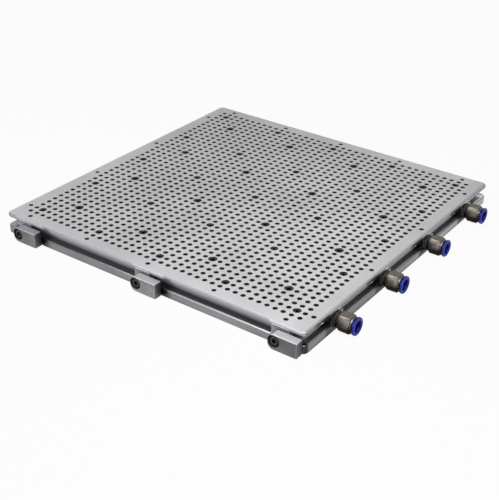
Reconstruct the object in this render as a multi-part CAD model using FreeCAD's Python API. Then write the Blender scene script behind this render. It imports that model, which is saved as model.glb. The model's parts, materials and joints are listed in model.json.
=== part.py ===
# Vacuum table: a perforated suction plate screwed to a milled base, with three
# swivelling edge stops along the front and four hose fittings along the right side.
# Frame: origin at the centre of the underside, +Z up, stops on the -Y side,
# hose fittings on the +X side. All lengths are in millimetres.

import FreeCAD, Part
import math
import os

Vector = FreeCAD.Vector
right = Vector(1, 0, 0)
back = Vector(0, 1, 0)
front = Vector(0, -1, 0)
up = Vector(0, 0, 1)
down = Vector(0, 0, -1)
tiny = 0.001
through = 1.0  # how far a cutting tool runs past the face that it leaves
quarter_turn = 90
full_turn = 360

# Hole field of the suction plate
hole_pitch = 10.0
holes_per_side = 39
field_margin = 20.0
small_hole_diameter = 6.0
edge_hole_diameter = 5.0
side_hole_spacing = 115.0
side_hole_rows = 4
# Small holes are drawn on every second line of the field, and with flat sides, to keep their faces few.
drawn_step = 2
small_hole_side_count = 7

# Suction plate
plate_thickness = 6.0
plate_corner_radius = 6.0
plate_edge_radius = 2.5

# Base
base_height = 20.0
groove_height = 10.0
groove_depth = 8.0
core_corner_radius = 4.0
flange_chamfer = 1.0
underside_chamfer = 0.6
stop_land_width = 20.0
fitting_land_width = 21.0

# Suction zones in the base
zone_depth = 3.0
zone_corner_radius = 3.0
zone_edge_margin = 0.3
feed_width = 8.0
feed_axis_depth = 8.0

# Cord seals between base and plate
cord_width = 2.0
cord_groove_depth = 1.8
cord_side_gap = 0.1
cord_wall = 1.1
cord_corner_radius = 4.0

# Plate screws, on a square grid counted in hole pitches
screw_rows = 5
screw_pitch_count = 9
plate_screw_diameter = 5.0
plate_screw_length = 12.0
plate_screw_head_diameter = 8.5
plate_screw_head_height = 3.5
plate_screw_socket = 4.0
plate_screw_socket_depth = 1.9
plate_screw_sunk = 1.0
screw_bevel = 0.35
head_side_gap = 0.25
shank_side_gap = 0.25
thread_side_gap = 0.05
thread_end_gap = 1.5
boss_wall = 3.0

# Ports, on a square grid counted in hole pitches; each row lies over one feed channel
port_rows = 4
port_pitch_count = 10

# Threaded plug in each port
plug_diameter = 10.0
plug_length = 6.0
plug_sunk = 0.5
plug_bevel = 0.8
plug_socket = 5.0
plug_socket_depth = 3.0

# Edge stops
stop_length = 35.0
stop_height = 18.0
stop_thickness = 10.0
stop_end_radius = 7.5
stop_edge_round = 0.6
stop_pivot_depth = 9.0
stop_pivot_below_top = 8.0
stop_gap = 1.5
stop_web = 4.5
stop_counterbore_diameter = 13.0

# Stop pivots
bush_diameter = 8.0
bush_flange_diameter = 13.0
bush_running_gap = 0.05
bush_end_play = 0.05
pivot_screw_diameter = 6.0
pivot_screw_length = 16.0
pivot_screw_head_diameter = 10.0
pivot_screw_head_height = 4.0
pivot_screw_socket = 4.0
pivot_screw_socket_depth = 2.2
spring_height = 0.8
spring_sheet = 0.4
spring_diameter = 12.0

# Push-in hose fittings, measured outwards from the land that they are screwed to
tube_diameter = 12.0
tube_side_gap = 0.1
fitting_thread_diameter = 13.16
fitting_thread_length = 10.0
washer_thickness = 2.0
washer_diameter = 18.0
shoulder_length = 2.5
shoulder_diameter = 17.0
hexagon_width = 19.0
hexagon_length = 14.0
hexagon_chamfer = 1.2
nose_length = 1.8
nose_diameter = 18.0
fitting_bore_diameter = 16.0
tube_stop_depth = 16.3
tube_pilot_length = 4.0
tube_seal_room = 3.8
tube_seal_recess_diameter = 15.2

# Grab ring, guide sleeve and release collar of each fitting
grab_sheet = 0.4
grab_rim_width = 0.9
grab_tooth_count = 8
grab_tooth_slot = 1.2
grab_lean = 1.4
guide_bore_diameter = 14.5
guide_lip_length = 4.8
guide_relief_diameter = 15.1
collar_sleeve_diameter = 14.2
collar_barb_diameter = 14.8
collar_barb_length = 1.4
collar_flange_diameter = 20.0
collar_flange_thickness = 2.5
collar_mouth_diameter = 14.0
collar_mouth_depth = 1.5
collar_bevel = 0.5
collar_bore_gap = 0.2
collar_gap = 1.7
collar_lip_gap = 0.3
part_gap = 0.02

# Sizes and places that follow from the ones above
table_height = base_height + plate_thickness
field_half = hole_pitch * (holes_per_side - 1) / 2
plate_half = field_half + field_margin
flange_height = base_height - groove_height
feed_axis_height = base_height - feed_axis_depth
stop_pivot_height = base_height - stop_pivot_depth
core_half = plate_half - groove_depth
zone_floor = base_height - zone_depth
zone_half = field_half + small_hole_diameter / 2 + zone_edge_margin
cord_half = zone_half + cord_wall + cord_width / 2
cord_bottom = base_height - cord_groove_depth
zone_wall_half = cord_width / 2 + cord_wall
boss_radius = plate_screw_diameter / 2 + boss_wall
recess_depth = plate_screw_sunk + plate_screw_head_height
stop_face = -plate_half - stop_gap
stop_web_face = stop_face - stop_web
pivot_head_seat = stop_web_face - bush_end_play - spring_height
hexagon_start = washer_thickness + shoulder_length
hexagon_end = hexagon_start + hexagon_length
nose_end = hexagon_end + nose_length
tube_bore_radius = tube_diameter / 2 + tube_side_gap
tube_stop = nose_end - tube_stop_depth
seal_start = tube_stop + tube_pilot_length
grab_seat = seal_start + tube_seal_room
guide_start = grab_seat + grab_sheet
collar_flange_start = nose_end + collar_gap
collar_end = collar_flange_start + collar_flange_thickness


def places(count, spacing):
    """Positions along one line, the same distance apart and centred on zero."""
    return [(number - (count - 1) / 2) * spacing for number in range(count)]


drawn_line = places(holes_per_side, hole_pitch)[1::drawn_step]
screw_line = places(screw_rows, screw_pitch_count * hole_pitch)
port_line = places(port_rows, port_pitch_count * hole_pitch)
stop_names = ("left", "middle", "right")
stop_line = (screw_line[0], screw_line[len(screw_line) // 2], screw_line[-1])
edge_line = hole_pitch + field_half
side_hole_line = [screw_line[0] + number * side_hole_spacing for number in range(side_hole_rows)]
zone_wall_line = [y + (port_pitch_count + 1) * hole_pitch / 2 for y in port_line[:-1]]


def is_near(value, line):
    return any(abs(value - place) < hole_pitch / 2 for place in line)


def rounded_outline(low_x, high_x, low_y, high_y, radius, level):
    """Closed outline of a rectangle with round corners, lying flat."""
    corners = (
        (high_x - radius, high_y - radius),
        (low_x + radius, high_y - radius),
        (low_x + radius, low_y + radius),
        (high_x - radius, low_y + radius),
    )
    arcs = []
    for number, (x, y) in enumerate(corners):
        turn = number * quarter_turn
        arcs.append(Part.makeCircle(radius, Vector(x, y, level), up, turn, turn + quarter_turn))
    edges = []
    for number, arc in enumerate(arcs):
        following = arcs[(number + 1) % len(arcs)]
        start = arc.valueAt(arc.LastParameter)
        end = following.valueAt(following.FirstParameter)
        edges.append(arc)
        if start.distanceToPoint(end) > tiny:
            edges.append(Part.makeLine(start, end))
    return Part.Wire(edges)


def rounded_block(low_x, high_x, low_y, high_y, low_z, high_z, radius):
    face = Part.Face(rounded_outline(low_x, high_x, low_y, high_y, radius, low_z))
    return face.extrude(Vector(0, 0, high_z - low_z))


def square_block(half, low_z, high_z, radius):
    return rounded_block(-half, half, -half, half, low_z, high_z, radius)


def rod(start, direction, length, diameter):
    return Part.makeCylinder(diameter / 2, length, start, direction)


def turned(outline, base, direction):
    """Solid of revolution from pairs of distance along the axis and radius."""
    points = [base + direction * along + up * radius for along, radius in outline]
    face = Part.Face(Part.makePolygon(points + [points[0]]))
    return face.revolve(base, direction, full_turn)


def flat_sided_bar(side_count, corner_radius, base, direction, first_corner, length):
    points = []
    for number in range(side_count + 1):
        turn = FreeCAD.Rotation(direction, number * full_turn / side_count)
        points.append(base + turn.multVec(first_corner) * corner_radius)
    return Part.Face(Part.makePolygon(points)).extrude(direction * length)


def hexagon_bar(across_flats, base, direction, first_corner, length):
    return flat_sided_bar(6, across_flats / math.sqrt(3), base, direction, first_corner, length)


def socketed(outline, base, direction, first_corner, socket, socket_depth):
    """Turned screw or plug with a hexagon socket in its outer end, which the outline starts with."""
    points = [base + direction * along + first_corner * radius for along, radius in outline]
    face = Part.Face(Part.makePolygon(points + [points[0]]))
    outer_end = base + direction * outline[0][0]
    hexagon = hexagon_bar(socket, outer_end, direction, first_corner, socket_depth)
    return face.revolve(base, direction, full_turn).cut(hexagon)


def low_head_screw(diameter, length, head_diameter, head_height):
    """Outline of a cap screw, with its head before the seat and its shank after it."""
    return (
        (-head_height, 0),
        (-head_height, head_diameter / 2 - screw_bevel),
        (screw_bevel - head_height, head_diameter / 2),
        (0, head_diameter / 2),
        (0, diameter / 2),
        (length - screw_bevel, diameter / 2),
        (length, diameter / 2 - screw_bevel),
        (length, 0),
    )


def level_edges(shape, level=None):
    """Edges that lie flat, all of them or those at one height."""
    flat = [edge for edge in shape.Edges if edge.BoundBox.ZLength < tiny]
    if level is None:
        return flat
    return [edge for edge in flat if abs(edge.BoundBox.ZMin - level) < tiny]


def save(name, shape):
    shape.exportStep("parts/" + name + ".step")


# Base plate

def base_blank():
    """Lower flange, set-back core, and the lands that fill the groove behind stops and fittings."""
    flange = square_block(plate_half, 0, flange_height, plate_corner_radius)
    flange = flange.makeChamfer(flange_chamfer, level_edges(flange, flange_height))
    flange = flange.makeChamfer(underside_chamfer, level_edges(flange, 0))
    core = square_block(core_half, flange_height, base_height, core_corner_radius)
    land_bottom = flange_height - flange_chamfer
    land_height = base_height - land_bottom
    land_depth = plate_half - core_half + core_corner_radius
    lands = []
    for x in stop_line:
        corner = Vector(x - stop_land_width / 2, -plate_half, land_bottom)
        lands.append(Part.makeBox(stop_land_width, land_depth, land_height, corner))
    for y in port_line:
        corner = Vector(plate_half - land_depth, y - fitting_land_width / 2, land_bottom)
        lands.append(Part.makeBox(land_depth, fitting_land_width, land_height, corner))
    return flange.fuse([core] + lands).removeSplitter()


def zone_pockets():
    """Shallow suction pockets, one to each feed channel, with a boss left standing round each screw."""
    limits = [-zone_half]
    for y in zone_wall_line:
        limits.append(y - zone_wall_half)
        limits.append(y + zone_wall_half)
    limits.append(zone_half)
    bosses = []
    boss_height = table_height - zone_floor + through
    for x in screw_line:
        for y in screw_line:
            bosses.append(rod(Vector(x, y, zone_floor - through), up, boss_height, 2 * boss_radius))
    pockets = []
    for low_y, high_y in zip(limits[0::2], limits[1::2]):
        pocket = rounded_block(
            -zone_half, zone_half, low_y, high_y, zone_floor, base_height + through, zone_corner_radius)
        pockets.append(pocket.cut(bosses))
    return pockets


def feed_channels():
    """A channel under each row of ports, and the bore that joins it to the fitting's thread."""
    tools = []
    for y in port_line:
        end_x = zone_half - feed_width
        tools.append(rounded_block(
            port_line[0] - feed_width / 2, end_x, y - feed_width / 2, y + feed_width / 2,
            feed_axis_height - feed_width / 2, base_height, feed_width / 2))
        start = Vector(end_x - feed_width, y, feed_axis_height)
        tools.append(rod(start, right, plate_half - start.x - fitting_thread_length, feed_width))
        thread_depth = fitting_thread_length + thread_end_gap
        start = Vector(plate_half - thread_depth, y, feed_axis_height)
        thread_hole = fitting_thread_diameter + 2 * thread_side_gap
        tools.append(rod(start, right, thread_depth + through, thread_hole))
    return tools


def cord_grooves():
    """Square groove round the whole field and straight ones along the walls between the zones."""
    half_width = cord_width / 2 + cord_side_gap
    outer = square_block(cord_half + half_width, cord_bottom, base_height + through,
                         cord_corner_radius + half_width)
    inner = square_block(cord_half - half_width, cord_bottom, base_height + through,
                         cord_corner_radius - half_width)
    tools = [outer.cut(inner)]
    for y in zone_wall_line:
        corner = Vector(-cord_half, y - half_width, cord_bottom)
        tools.append(Part.makeBox(2 * cord_half, 2 * half_width, cord_groove_depth + through, corner))
    return tools


def base_threads():
    """Threaded holes for the plate screws, into the bosses, and for the stop pivots, into the lands."""
    tools = []
    hole = plate_screw_diameter + 2 * thread_side_gap
    depth = plate_screw_length - (plate_thickness - recess_depth) + thread_end_gap
    for x in screw_line:
        for y in screw_line:
            tools.append(rod(Vector(x, y, base_height + through), down, depth + through, hole))
    hole = pivot_screw_diameter + 2 * thread_side_gap
    depth = pivot_head_seat + pivot_screw_length + plate_half + thread_end_gap
    for x in stop_line:
        start = Vector(x, -plate_half - through, stop_pivot_height)
        tools.append(rod(start, back, depth + through, hole))
    return tools


def base_plate():
    tools = zone_pockets() + feed_channels() + cord_grooves() + base_threads()
    return base_blank().cut(tools)


# Suction plate

def top_plate():
    """Plate with rounded rim, the field of small holes, sunk screw places, threaded ports, edge holes."""
    plate = square_block(plate_half, base_height, table_height, plate_corner_radius)
    plate = plate.makeFillet(plate_edge_radius, level_edges(plate))
    bottom = base_height - through
    height = plate_thickness + 2 * through
    tools = []
    for x in screw_line:
        for y in screw_line:
            recess = plate_screw_head_diameter + 2 * head_side_gap
            tools.append(rod(Vector(x, y, table_height + through), down, recess_depth + through, recess))
            clearance = plate_screw_diameter + 2 * shank_side_gap
            tools.append(rod(Vector(x, y, bottom), up, height, clearance))
    for x in port_line:
        for y in port_line:
            tools.append(rod(Vector(x, y, bottom), up, height, plug_diameter + 2 * thread_side_gap))
    for x in drawn_line:
        for y in drawn_line:
            if not (is_near(x, screw_line) and is_near(y, screw_line)):
                tools.append(flat_sided_bar(
                    small_hole_side_count, small_hole_diameter / 2, Vector(x, y, bottom), up, right, height))
    for x in screw_line:
        for y in (-edge_line, edge_line):
            tools.append(rod(Vector(x, y, bottom), up, height, edge_hole_diameter))
    for y in side_hole_line:
        for x in (-edge_line, edge_line):
            tools.append(rod(Vector(x, y, bottom), up, height, edge_hole_diameter))
    return plate.cut(tools)


def plate_screws():
    outline = low_head_screw(
        plate_screw_diameter, plate_screw_length, plate_screw_head_diameter, plate_screw_head_height)
    screws = []
    for x in screw_line:
        for y in screw_line:
            seat = Vector(x, y, table_height - recess_depth)
            screws.append(socketed(outline, seat, down, right, plate_screw_socket, plate_screw_socket_depth))
    return Part.makeCompound(screws)


def port_plugs():
    outline = (
        (0, 0),
        (0, plug_diameter / 2 - plug_bevel),
        (plug_bevel, plug_diameter / 2),
        (plug_length - plug_bevel, plug_diameter / 2),
        (plug_length, plug_diameter / 2 - plug_bevel),
        (plug_length, 0),
    )
    plugs = []
    for x in port_line:
        for y in port_line:
            top = Vector(x, y, table_height - plug_sunk)
            plugs.append(socketed(outline, top, down, right, plug_socket, plug_socket_depth))
    return Part.makeCompound(plugs)


# Cord seals

def perimeter_seal():
    half_width = cord_width / 2
    outer = square_block(cord_half + half_width, cord_bottom, base_height, cord_corner_radius + half_width)
    inner = square_block(cord_half - half_width, cord_bottom, base_height, cord_corner_radius - half_width)
    return outer.cut(inner)


def zone_seals():
    half_length = cord_half - cord_width / 2 - cord_side_gap
    cords = []
    for y in zone_wall_line:
        corner = Vector(-half_length, y - cord_width / 2, cord_bottom)
        cords.append(Part.makeBox(2 * half_length, cord_width, cord_groove_depth, corner))
    return Part.makeCompound(cords)


# Edge stops, each turning on a bush about an axis from front to back

def stop_bar(x):
    """Bar with two round corners at its pivot end, counterbored from the front."""
    low_x = x - stop_end_radius
    high_x = low_x + stop_length
    high_z = stop_pivot_height + stop_pivot_below_top
    low_z = high_z - stop_height
    y = stop_face
    radius = stop_end_radius
    upper = Vector(x, y, high_z - radius)
    lower = Vector(x, y, low_z + radius)
    upper_middle = upper + (up - right).normalize() * radius
    lower_middle = lower - (up + right).normalize() * radius
    outline = Part.Wire([
        Part.makeLine(Vector(high_x, y, low_z), Vector(high_x, y, high_z)),
        Part.makeLine(Vector(high_x, y, high_z), Vector(x, y, high_z)),
        Part.Arc(upper + up * radius, upper_middle, upper - right * radius).toShape(),
        Part.makeLine(Vector(low_x, y, upper.z), Vector(low_x, y, lower.z)),
        Part.Arc(lower - right * radius, lower_middle, lower - up * radius).toShape(),
        Part.makeLine(Vector(x, y, low_z), Vector(high_x, y, low_z)),
    ])
    bar = Part.Face(outline).extrude(front * stop_thickness)
    far_face = stop_face - stop_thickness
    rounded = [edge for edge in bar.Edges if abs(edge.BoundBox.YMax - far_face) < tiny]
    rounded += [edge for edge in bar.Edges if abs(edge.BoundBox.XMin - high_x) < tiny and edge not in rounded]
    bar = bar.makeFillet(stop_edge_round, rounded)
    bore = bush_diameter + 2 * bush_running_gap
    pivot = Vector(x, stop_face + through, stop_pivot_height)
    bar = bar.cut(rod(pivot, front, stop_thickness + 2 * through, bore))
    seat = Vector(x, stop_web_face, stop_pivot_height)
    return bar.cut(rod(seat, front, stop_thickness, stop_counterbore_diameter))


def pivot_bush(x):
    """Flanged bush: the flange fills the gap to the land and the sleeve carries the bar."""
    flange = stop_gap - bush_end_play
    length = -plate_half - pivot_head_seat
    bore = pivot_screw_diameter / 2 + shank_side_gap
    outline = (
        (0, bore),
        (0, bush_flange_diameter / 2),
        (flange, bush_flange_diameter / 2),
        (flange, bush_diameter / 2),
        (length, bush_diameter / 2),
        (length, bore),
    )
    return turned(outline, Vector(x, -plate_half, stop_pivot_height), front)


def disc_spring(x):
    """Conical spring washer between the screw head and the web of the bar."""
    inner = bush_diameter / 2 + 2 * bush_running_gap
    outer = spring_diameter / 2
    rise = spring_height - spring_sheet
    outline = (
        (0, outer),
        (spring_sheet, outer),
        (spring_height, inner),
        (rise, inner),
    )
    return turned(outline, Vector(x, stop_web_face - bush_end_play, stop_pivot_height), front)


def pivot_screw(x):
    outline = low_head_screw(
        pivot_screw_diameter, pivot_screw_length, pivot_screw_head_diameter, pivot_screw_head_height)
    seat = Vector(x, pivot_head_seat, stop_pivot_height)
    return socketed(outline, seat, back, up, pivot_screw_socket, pivot_screw_socket_depth)


# Push-in fittings, each screwed into a land at the end of a feed channel

def land_point(y):
    return Vector(plate_half, y, feed_axis_height)


def seal_washer(y):
    bore = fitting_thread_diameter / 2 + thread_side_gap
    outline = (
        (0, bore),
        (0, washer_diameter / 2),
        (washer_thickness, washer_diameter / 2),
        (washer_thickness, bore),
    )
    return turned(outline, land_point(y), right)


def fitting_body(y):
    """Threaded end, shoulder, chamfered hexagon and nose, bored for tube, seal and grab ring."""
    base = land_point(y)
    corner_radius = hexagon_width / math.sqrt(3)
    side_radius = hexagon_width / 2
    envelope = (
        (-fitting_thread_length, 0),
        (-fitting_thread_length, fitting_thread_diameter / 2),
        (washer_thickness, fitting_thread_diameter / 2),
        (washer_thickness, shoulder_diameter / 2),
        (hexagon_start, shoulder_diameter / 2),
        (hexagon_start, side_radius),
        (hexagon_start + hexagon_chamfer, corner_radius),
        (hexagon_end - hexagon_chamfer, corner_radius),
        (hexagon_end, side_radius),
        (hexagon_end, nose_diameter / 2),
        (nose_end, nose_diameter / 2),
        (nose_end, 0),
    )
    hexagon = hexagon_bar(
        hexagon_width, base + right * hexagon_start, right, back, hexagon_length)
    ends = (
        (-fitting_thread_length, 0),
        (-fitting_thread_length, fitting_thread_diameter / 2),
        (washer_thickness, fitting_thread_diameter / 2),
        (washer_thickness, shoulder_diameter / 2),
        (hexagon_start + through, shoulder_diameter / 2),
        (hexagon_end - through, nose_diameter / 2),
        (nose_end, nose_diameter / 2),
        (nose_end, 0),
    )
    body = turned(envelope, base, right).common(hexagon).fuse(turned(ends, base, right)).removeSplitter()
    bores = (
        (-fitting_thread_length - through, 0),
        (-fitting_thread_length - through, feed_width / 2),
        (tube_stop, feed_width / 2),
        (tube_stop, tube_bore_radius),
        (seal_start, tube_bore_radius),
        (seal_start, tube_seal_recess_diameter / 2),
        (grab_seat, tube_seal_recess_diameter / 2),
        (grab_seat, fitting_bore_diameter / 2),
        (nose_end + through, fitting_bore_diameter / 2),
        (nose_end + through, 0),
    )
    return body.cut(turned(bores, base, right))


def tube_seal(y):
    outer = tube_seal_recess_diameter / 2 - part_gap
    section = (outer - tube_bore_radius) / 2
    centre = land_point(y) + right * (seal_start + section + part_gap)
    return Part.makeTorus(outer - section, section, centre, right)


def grab_ring(y):
    """Flat rim held against the body, with slotted teeth that lean in towards the tube."""
    outer = fitting_bore_diameter / 2 - part_gap
    root = outer - grab_rim_width
    tip = tube_bore_radius + part_gap
    outline = (
        (grab_seat, outer),
        (guide_start, outer),
        (guide_start, root),
        (guide_start - grab_lean, tip),
        (grab_seat - grab_lean, tip),
        (grab_seat, root),
    )
    ring = turned(outline, land_point(y), right)
    slots = []
    for number in range(grab_tooth_count):
        turn = FreeCAD.Rotation(right, number * full_turn / grab_tooth_count)
        corner = Vector(grab_seat - grab_lean - through, -grab_tooth_slot / 2, 0)
        slot = Part.makeBox(grab_lean + grab_sheet + 2 * through, grab_tooth_slot, root, corner)
        slot.Placement = FreeCAD.Placement(land_point(y), turn)
        slots.append(slot)
    return ring.cut(slots)


def guide_sleeve(y):
    """Sleeve pressed into the nose: it holds the grab ring and keeps the collar's barb inside."""
    outer = fitting_bore_diameter / 2 - part_gap
    lip = nose_end - guide_lip_length
    outline = (
        (guide_start, outer),
        (nose_end, outer),
        (nose_end, guide_bore_diameter / 2),
        (lip, guide_bore_diameter / 2),
        (lip, guide_relief_diameter / 2),
        (guide_start, guide_relief_diameter / 2),
    )
    return turned(outline, land_point(y), right)


def release_collar(y):
    """Collar pushed in to free the tube: flange outside, barbed sleeve inside the guide."""
    bore = tube_bore_radius + collar_bore_gap / 2
    barb_front = nose_end - guide_lip_length - collar_lip_gap
    barb_back = barb_front - collar_barb_length
    outline = (
        (barb_back, bore),
        (barb_back, collar_sleeve_diameter / 2),
        (barb_front, collar_barb_diameter / 2),
        (barb_front, collar_sleeve_diameter / 2),
        (collar_flange_start, collar_sleeve_diameter / 2),
        (collar_flange_start, collar_flange_diameter / 2),
        (collar_end - collar_bevel, collar_flange_diameter / 2),
        (collar_end, collar_flange_diameter / 2 - collar_bevel),
        (collar_end, collar_mouth_diameter / 2),
        (collar_end - collar_mouth_depth, bore),
    )
    return turned(outline, land_point(y), right)


def main():
    os.makedirs("parts", exist_ok=True)
    save("base_plate", base_plate())
    save("top_plate", top_plate())
    save("plate_screws", plate_screws())
    save("port_plugs", port_plugs())
    save("perimeter_seal", perimeter_seal())
    save("zone_seals", zone_seals())
    for name, x in zip(stop_names, stop_line):
        save("stop_bar_" + name, stop_bar(x))
        save("pivot_bush_" + name, pivot_bush(x))
        save("disc_spring_" + name, disc_spring(x))
    save("pivot_screws", Part.makeCompound([pivot_screw(x) for x in stop_line]))
    for number, y in enumerate(port_line, start=1):
        save("fitting_body_" + str(number), fitting_body(y))
        save("release_collar_" + str(number), release_collar(y))
    save("seal_washers", Part.makeCompound([seal_washer(y) for y in port_line]))
    save("tube_seals", Part.makeCompound([tube_seal(y) for y in port_line]))
    save("grab_rings", Part.makeCompound([grab_ring(y) for y in port_line]))
    save("guide_sleeves", Part.makeCompound([guide_sleeve(y) for y in port_line]))


main()
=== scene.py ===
import bpy
import bmesh
import json
import math
from mathutils import Matrix, Vector


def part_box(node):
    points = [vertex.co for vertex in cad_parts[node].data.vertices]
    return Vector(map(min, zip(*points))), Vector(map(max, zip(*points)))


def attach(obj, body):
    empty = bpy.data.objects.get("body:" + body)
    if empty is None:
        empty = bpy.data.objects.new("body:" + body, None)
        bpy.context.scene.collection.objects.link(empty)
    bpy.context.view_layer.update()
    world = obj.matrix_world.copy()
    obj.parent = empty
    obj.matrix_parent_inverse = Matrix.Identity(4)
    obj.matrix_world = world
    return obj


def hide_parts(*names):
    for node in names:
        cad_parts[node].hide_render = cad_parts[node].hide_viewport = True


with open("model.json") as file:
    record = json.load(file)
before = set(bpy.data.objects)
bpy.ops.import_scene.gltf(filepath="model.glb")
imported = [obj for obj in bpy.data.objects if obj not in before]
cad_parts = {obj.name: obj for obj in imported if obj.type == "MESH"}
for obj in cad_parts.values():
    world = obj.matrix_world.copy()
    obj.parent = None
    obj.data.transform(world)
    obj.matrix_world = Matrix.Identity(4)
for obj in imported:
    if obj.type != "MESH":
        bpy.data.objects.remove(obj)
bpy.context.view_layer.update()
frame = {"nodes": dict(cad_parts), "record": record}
print("vacuum table: frame loaded")

# Sizes are in metres. Heights and outer faces are read off the frame.

basePlate = {
    "grooveHeight": 0.010,
    "stopLand": 0.020,         # widths of the lands that fill the groove
    "fittingLand": 0.021,
}
stopBar = {
    "count": 3,
    "spacing": 0.180,
    "counterbore": 0.0065,     # radius
}
fitting = {
    "spacing": 0.100,
}
plateLow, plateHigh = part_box("top_plate")
plateTop = plateHigh.z
plateBottom = plateLow.z
plateHalf = plateHigh.x
ledgeTop = plateBottom - basePlate["grooveHeight"]


def centreOf(node):
    low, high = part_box(node)
    return (low + high) / 2


# Mesh helpers

mergeDistance = 0.000001
lineTolerance = 0.0001         # a place this near to a line counts as on it


def finishPiece(bm, name, node, sharpAngle=30.0):
    # the mesh becomes a piece that stands for this CAD node
    mesh = bpy.data.meshes.new(name)
    bm.to_mesh(mesh)
    bm.free()
    mesh.shade_smooth()
    mesh.set_sharp_from_angle(angle=math.radians(sharpAngle))
    mesh.materials.append(finishes[slotOf[node]])
    piece = bpy.data.objects.new(name, mesh)
    bpy.context.scene.collection.objects.link(piece)
    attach(piece, bodyOf[node])
    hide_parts(node)
    return piece


def cleaned(bm):
    bmesh.ops.remove_doubles(bm, verts=bm.verts, dist=mergeDistance)
    bmesh.ops.recalc_face_normals(bm, faces=bm.faces)
    return bm


def meshOf(bm, name):
    mesh = bpy.data.meshes.new(name)
    bm.to_mesh(mesh)
    bm.free()
    return mesh


def edgesOf(made):
    return [part for part in made["geom"] if isinstance(part, bmesh.types.BMEdge)]


def vertsOf(made):
    return [part for part in made["geom"] if isinstance(part, bmesh.types.BMVert)]


def linePlaces(count, spacing):
    return [(number - (count - 1) / 2) * spacing for number in range(count)]


def isOn(value, line):
    return any(abs(value - place) < lineTolerance for place in line)


def isLevel(edge, height):
    return all(abs(vert.co.z - height) < mergeDistance for vert in edge.verts)


def circleLoop(bm, sides, radius, centre, turn=0.0):
    place = Matrix.Translation(centre) @ Matrix.Rotation(turn, 4, "Z")
    made = bmesh.ops.create_circle(bm, cap_ends=False, segments=sides, radius=radius, matrix=place)
    return list({edge for vert in made["verts"] for edge in vert.link_edges})


def pullRound(bm, loop, centre, outline):
    # carries a round loop down pairs of radius and height, from the first, where it already is
    for (radius, height), (nextRadius, nextHeight) in zip(outline, outline[1:]):
        made = bmesh.ops.extrude_edge_only(bm, edges=loop)
        grow = nextRadius / radius
        bmesh.ops.scale(bm, verts=vertsOf(made), vec=(grow, grow, 1.0), space=Matrix.Translation(-centre))
        bmesh.ops.translate(bm, verts=vertsOf(made), vec=(0.0, 0.0, nextHeight - height))
        loop = edgesOf(made)
    return loop


# Suction plate

suctionPlate = {
    "pitch": 0.010,            # from one small hole to the next
    "rows": 39,
    "holeRadius": 0.0029,
    "holeBevel": 0.0001,
    "holeSides": 16,
    "edgeHoleRadius": 0.0025,
    "edgeHoleBevel": 0.0004,
    "sideHoles": 4,
    "sideHoleSpacing": 0.115,
    "ports": 4,
    "portSpacing": 0.100,
    "portRadius": 0.00505,
    "screws": 5,
    "screwSpacing": 0.090,
    "screwHoleRadius": 0.00275,
    "recessRadius": 0.0045,
    "recessDepth": 0.0045,
    "wideHoleSides": 28,
    "wideHoleBevel": 0.0002,
    "edgeRound": 0.0025,
    "roundSteps": 6,
    "cornerRadius": 0.006,
    "cornerSteps": 8,
}


def holeOutline(kind):
    # radius and height down the wall of a hole, from its mouth
    plate = suctionPlate
    if kind == "screw":
        seat = plateTop - plate["recessDepth"]
        wide = plate["recessRadius"]
        narrow = plate["screwHoleRadius"]
        bevel = plate["wideHoleBevel"]
        return [(wide + bevel, plateTop), (wide, plateTop - bevel), (wide, seat), (narrow, seat), (narrow, plateBottom)]
    radius, bevel = {
        "small": (plate["holeRadius"], plate["holeBevel"]),
        "edge": (plate["edgeHoleRadius"], plate["edgeHoleBevel"]),
        "port": (plate["portRadius"], plate["wideHoleBevel"]),
    }[kind]
    return [(radius + bevel, plateTop), (radius, plateTop - bevel), (radius, plateBottom)]


def holeTile(kind):
    # one square of the plate, a pitch wide, with its hole in the middle
    bm = bmesh.new()
    corner = suctionPlate["pitch"] / math.sqrt(2)
    sides = suctionPlate["holeSides"] if kind == "small" else suctionPlate["wideHoleSides"]
    outline = holeOutline(kind)
    centre = Vector((0.0, 0.0, plateTop))
    border = circleLoop(bm, 4, corner, centre, math.radians(45))
    loop = circleLoop(bm, sides, outline[0][0], centre)
    bmesh.ops.triangle_fill(bm, use_beauty=True, edges=border + loop)
    loop = pullRound(bm, loop, centre, outline)
    border = circleLoop(bm, 4, corner, Vector((0.0, 0.0, plateBottom)), math.radians(45))
    bmesh.ops.triangle_fill(bm, use_beauty=True, edges=border + loop)
    return meshOf(bm, "tile_" + kind)


def addHoleField(bm):
    # all the tiles side by side
    screwLine = linePlaces(suctionPlate["screws"], suctionPlate["screwSpacing"])
    portLine = linePlaces(suctionPlate["ports"], suctionPlate["portSpacing"])
    fieldLine = linePlaces(suctionPlate["rows"], suctionPlate["pitch"])
    tiles = {kind: holeTile(kind) for kind in ("small", "screw", "port")}
    for x in fieldLine:
        for y in fieldLine:
            kind = "small"
            if isOn(x, screwLine) and isOn(y, screwLine):
                kind = "screw"
            if isOn(x, portLine) and isOn(y, portLine):
                kind = "port"
            shift = Matrix.Translation((x, y, 0.0))
            tiles[kind].transform(shift)
            bm.from_mesh(tiles[kind])
            tiles[kind].transform(shift.inverted())


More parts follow.
